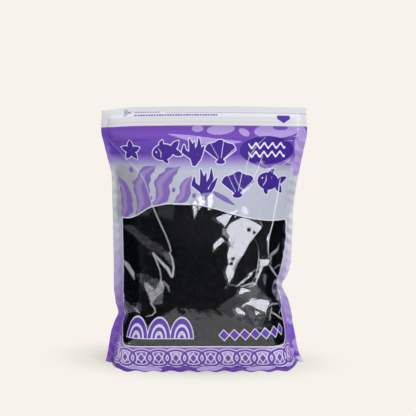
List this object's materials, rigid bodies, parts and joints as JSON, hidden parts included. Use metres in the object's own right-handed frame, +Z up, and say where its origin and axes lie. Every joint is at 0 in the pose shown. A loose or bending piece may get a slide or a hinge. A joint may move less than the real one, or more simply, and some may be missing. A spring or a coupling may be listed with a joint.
{
  "type": "pouch of cut dried wakame",
  "caption": "Sealed standing zip pouch of printed plastic film with a clear front window, filled with dark dried cut wakame seaweed.",
  "frame": {"origin": "middle of the footprint, at the lowest point of the pouch's base", "axes": "+Z up towards the header, the window faces -Y, +X to the right of someone facing the window"},
  "size_m": [0.2485, 0.0985, 0.3188],
  "materials": {
    "violet_print": "glossy laminate film, gravure printed violet fading to silver",
    "white_print": "glossy laminate film, gravure printed white",
    "clear_film": "clear glossy plastic film, lightly creased",
    "natural_polythene": "extruded natural polythene",
    "dried_wakame": "dry, crumpled, near-black green-brown seaweed"
  },
  "bodies": {
    "root": {"front_header": "white_print", "back_header": "white_print", "front_print": "violet_print", "back_print": "violet_print", "base_web": "violet_print", "front_window": "clear_film", "zip_rib": "natural_polythene", "zip_channel": "natural_polythene", "wakame": "dried_wakame"}
  },
  "joints": []
}
